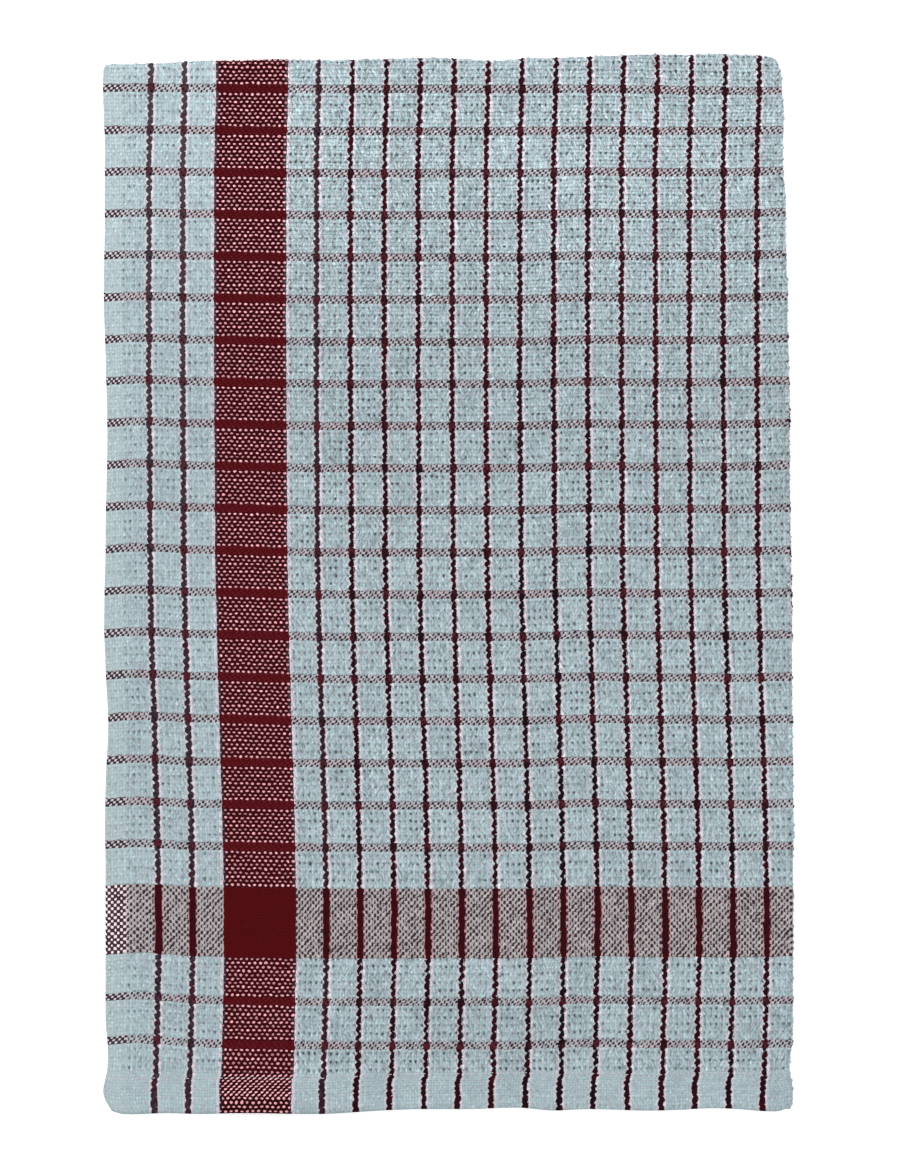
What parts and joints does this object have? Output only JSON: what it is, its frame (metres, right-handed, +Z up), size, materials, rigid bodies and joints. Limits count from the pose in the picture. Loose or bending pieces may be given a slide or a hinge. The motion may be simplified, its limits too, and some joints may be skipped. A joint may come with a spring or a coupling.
{
  "type": "folded tea towel",
  "caption": "Checked woven cotton tea towel with hemmed ends, folded lengthwise and then crosswise into a flat rectangle that lies on a worktop or shelf.",
  "frame": {"origin": "centre of the folded towel's bounding box, on the surface that it lies on", "axes": "+X from the free selvedges towards the long fold, +Y from the hems towards the short fold, +Z up from the surface"},
  "size_m": [0.2326, 0.3574, 0.008],
  "materials": {
    "checked_cotton": "matt woven cotton, pale blue-green with a dark maroon check"
  },
  "bodies": {
    "root": {"towel_cloth": "checked_cotton"}
  },
  "joints": []
}
